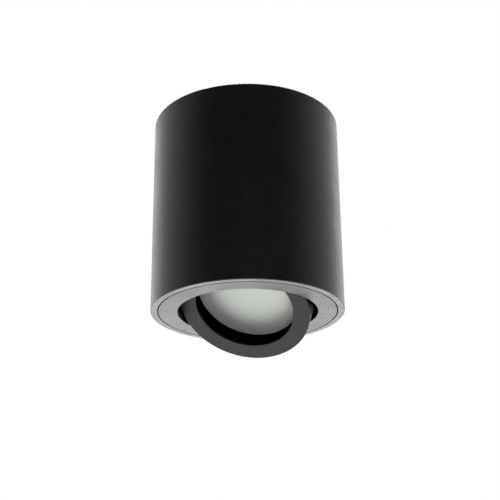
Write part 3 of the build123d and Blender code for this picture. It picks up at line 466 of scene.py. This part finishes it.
def add_lens():
    """The lens with the photo's flatter dome, on the CAD lens's own flange."""
    cad_lens = nodes["lamp_lens"]
    to_lamp = Matrix.Rotation(TILT, 4, "X") @ Matrix.Translation(-PIVOT)
    from_lamp = to_lamp.inverted()
    points = [to_lamp @ cad_lens.matrix_world @ corner.co for corner in cad_lens.data.vertices]
    edge = max(point.xy.length for point in points)
    seat = min(point.z for point in points if point.xy.length > FLANGE_START)
    dome_top = seat - DOME_RISE
    corners, faces = turned(lens_profile(edge, seat), dome_top + FLANGE_THICKNESS, dome_top)
    mesh = bpy.data.meshes.new("lens")
    mesh.from_pydata([from_lamp @ corner for corner in corners], [], faces)
    mesh.shade_smooth()
    mesh.materials.append(cad_lens.data.materials[0])
    lens = bpy.data.objects.new("lens", mesh)
    bpy.context.scene.collection.objects.link(lens)
    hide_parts("lamp_lens")
    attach(lens, "lamp_head")


# ---------------------------------------------------------------- studio

WHITE = (1.0, 1.0, 1.0, 1.0)
FLOOR_Z = -1.2
FLOOR_SIZE = 12.0
FLOOR_SCALE = 30.0  # features per metre
FLOOR_GLOW = 0.65  # keeps the floor pale in the camera's view, as the lamps light it little
FILL = 0.10
# Past the floor, reflections see a dark studio on the camera's side and a pale one on the far side.
MIRRORED_DARK = 0.016
MIRRORED_PALE = 0.8
FAR_SIDE_DROP = 0.35  # the far side's middle is this far down for each metre away
FAR_SIDE = Vector((-math.sin(HEADING), math.cos(HEADING), -FAR_SIDE_DROP)).normalized()
DARK_UNTIL = -0.65  # dot product of the direction with FAR_SIDE
PALE_FROM = 0.2


def floor_material():
    """Pale and matt, brighter for the camera and plain white in reflections."""
    made, tree, shader = material("floor_pale")
    mottle = noise(tree, FLOOR_SCALE)
    tree.links.new(shades(tree, mottle, (0.3, grey(0.80)), (0.7, grey(0.84))), shader.inputs["Base Color"])
    shader.inputs["Roughness"].default_value = 0.8
    path = add(tree, "ShaderNodeLightPath")
    glow = spread(tree, path.outputs["Is Camera Ray"], 0.0, FLOOR_GLOW, 0.0, 1.0)
    tree.links.new(glow, shader.inputs["Emission Strength"])
    white = add(tree, "ShaderNodeEmission")
    mirrored = combine(tree, "MAXIMUM", path.outputs["Is Glossy Ray"], path.outputs["Is Transmission Ray"])
    surface = mix_shaders(tree, mirrored, shader.outputs["BSDF"], white.outputs["Emission"])
    tree.links.new(surface, tree.nodes["Material Output"].inputs["Surface"])
    return made


def add_floor():
    bpy.ops.mesh.primitive_plane_add(size=FLOOR_SIZE, location=(0, 0, FLOOR_Z))
    floor = bpy.context.object
    floor.name = "floor"
    floor.data.materials.append(floor_material())


def mirrored_strength(tree):
    """How bright reflections see the surroundings, from their direction."""
    direction = add(tree, "ShaderNodeTexCoord")
    facing = add(tree, "ShaderNodeVectorMath", operation="DOT_PRODUCT")
    facing.inputs[1].default_value = FAR_SIDE
    tree.links.new(direction.outputs["Generated"], facing.inputs[0])
    return spread(tree, facing.outputs["Value"], MIRRORED_DARK, MIRRORED_PALE, DARK_UNTIL, PALE_FROM)


def add_world():
    """White where the camera sees past the object, and an even, soft fill for the surfaces."""
    world = bpy.data.worlds.new("studio")
    world.use_nodes = True
    bpy.context.scene.world = world
    tree = world.node_tree
    fill = tree.nodes["Background"]
    fill.inputs["Strength"].default_value = FILL
    seen = add(tree, "ShaderNodeBackground")
    seen.inputs["Strength"].default_value = 1.0
    mirrored = add(tree, "ShaderNodeBackground")
    tree.links.new(mirrored_strength(tree), mirrored.inputs["Strength"])
    for background in (fill, seen, mirrored):
        background.inputs["Color"].default_value = WHITE
    path = add(tree, "ShaderNodeLightPath")
    glossy = path.outputs["Is Glossy Ray"]
    unseen = mix_shaders(tree, glossy, fill.outputs["Background"], mirrored.outputs["Background"])
    surface = mix_shaders(tree, path.outputs["Is Camera Ray"], unseen, seen.outputs["Background"])
    tree.links.new(surface, tree.nodes["World Output"].inputs["Surface"])


def add_softbox(name, place, width, height, power, beam):
    """Area lamp with a beam in degrees, aimed at the can's open end.

    Its place is across the camera's heading, beyond the can's axis and above z = 0.
    """
    data = bpy.data.lights.new(name, "AREA")
    data.shape = "RECTANGLE"
    data.size = width
    data.size_y = height
    data.energy = power
    data.spread = math.radians(beam)
    lamp = bpy.data.objects.new(name, data)
    bpy.context.scene.collection.objects.link(lamp)
    target = Vector((0, 0, CAN_BOTTOM))
    lamp.location = Matrix.Rotation(HEADING, 4, "Z") @ Vector(place)
    lamp.rotation_euler = (target - lamp.location).to_track_quat("-Z", "Y").to_euler()
    lamp.visible_camera = False


def add_lights():
    add_softbox("key", (0.1, -1.25, -0.68), width=0.5, height=0.5, power=6.5, beam=180)
    for name, across in (("left_back", -1.3), ("right_back", 1.3)):
        add_softbox(name, (across, 1.8, 0.5), width=1.2, height=1.6, power=1.2, beam=75)
    add_softbox("low_back", (0.0, 1.9, -0.8), width=3.0, height=0.6, power=5.5, beam=90)


add_camera()
dress()
add_lens()
add_floor()
add_world()
add_lights()
bpy.context.scene.view_settings.view_transform = "Standard"
